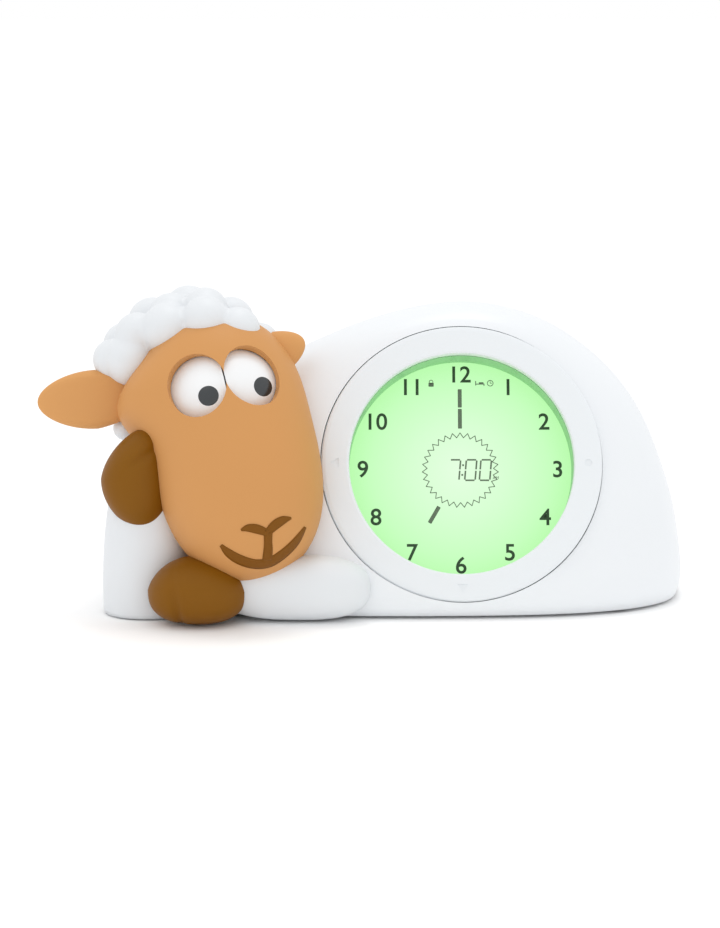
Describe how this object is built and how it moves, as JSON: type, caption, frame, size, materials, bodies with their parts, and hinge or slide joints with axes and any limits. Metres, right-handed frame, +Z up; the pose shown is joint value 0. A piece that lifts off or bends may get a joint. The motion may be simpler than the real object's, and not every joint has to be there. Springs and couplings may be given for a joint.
{
  "type": "alarm clock",
  "caption": "Children's alarm clock and night light with a round backlit dial in a domed casing and a sheep leaning on its front",
  "frame": {"origin": "centre of the footprint on the floor", "axes": "+Z up, -Y out of the dial side, +X to the viewer's right"},
  "size_m": [0.2502, 0.1424, 0.1211],
  "materials": {
    "casing": "satin",
    "rubber": "matte",
    "screw": "satin",
    "cell": "satin",
    "ring": "satin",
    "collar": "gloss",
    "window": "clear",
    "panel": "satin",
    "guide": "frosted",
    "board": "satin",
    "led": "gloss",
    "chip": "matte",
    "knob": "satin",
    "eye_white": "satin",
    "tan": "satin",
    "ear": "satin",
    "pupil": "gloss",
    "motor": "satin",
    "hoof": "satin",
    "wool": "satin"
  },
  "bodies": {
    "casing": {"front_shell": "casing", "rear_shell": "casing", "base_plate": "casing", "rubber_feet": "rubber", "batteries": "cell", "battery_contacts": "screw", "case_screws": "screw", "display_collar": "collar", "dial_window": "window", "lcd_panel": "panel", "light_guide": "guide", "display_board": "board", "reflector_tray": "casing", "display_leds": "led", "key_board": "board", "tact_switches": "chip", "display_screws": "screw", "speaker": "chip", "dc_socket": "chip", "slide_switch": "chip", "main_board": "board", "board_parts": "chip", "board_screws": "screw", "eye_motor": "motor", "eye_bracket": "casing", "nose_and_mouth": "hoof", "face_shell": "tan", "wool_cap": "wool", "foreleg": "wool", "floor_hoof": "hoof", "raised_foreleg": "wool", "cheek_hoof": "hoof", "ear_left": "ear", "ear_right": "ear"},
    "ring": {"control_ring": "ring"},
    "plungers": {"switch_plungers": "chip"},
    "eyes": {"eyeball_left": "eye_white", "eyelid_left": "tan", "eyeball_right": "eye_white", "eyelid_right": "tan", "pupils": "pupil", "eye_shaft": "screw", "eye_gear": "knob"},
    "pinion": {"motor_pinion": "knob"},
    "door": {"battery_door": "casing", "battery_door_screw": "screw"},
    "mode_knob": {"slide_knob": "knob"}
  },
  "joints": [
    {"name": "ring_press", "type": "slide", "parent": "casing", "child": "ring", "axis": [0, 0.9272, -0.3746], "range_m": [0, 0.0006], "stiffness_N_per_m": 1500, "springref_m": -0.0006},
    {"name": "plunger_press", "type": "slide", "parent": "casing", "child": "plungers", "axis": [0, 0.9272, -0.3746], "range_m": [0, 0.0006], "stiffness_N_per_m": 300},
    {"name": "eye_roll", "type": "hinge", "parent": "casing", "child": "eyes", "pos_m": [-0.05271, -0.03173, 0.08101], "axis": [0.9647, 0.2174, 0.1487], "range_deg": [0, 78]},
    {"name": "pinion_spin", "type": "hinge", "parent": "casing", "child": "pinion", "pos_m": [-0.0547, -0.01765, 0.07336], "axis": [0.9647, 0.2174, 0.1487], "range_deg": [-240, 1]},
    {"name": "door_swing", "type": "hinge", "parent": "casing", "child": "door", "pos_m": [0.0168, 0.0157, 0.0022], "axis": [0, 1, 0], "range_deg": [0, 80]},
    {"name": "mode_slide", "type": "slide", "parent": "casing", "child": "mode_knob", "axis": [1, 0, 0], "range_m": [-0.003, 0.003]}
  ],
  "couplings": [
    {"joint": "plunger_press", "follows": "ring_press", "ratio": 1},
    {"joint": "pinion_spin", "follows": "eye_roll", "ratio": -3}
  ]
}
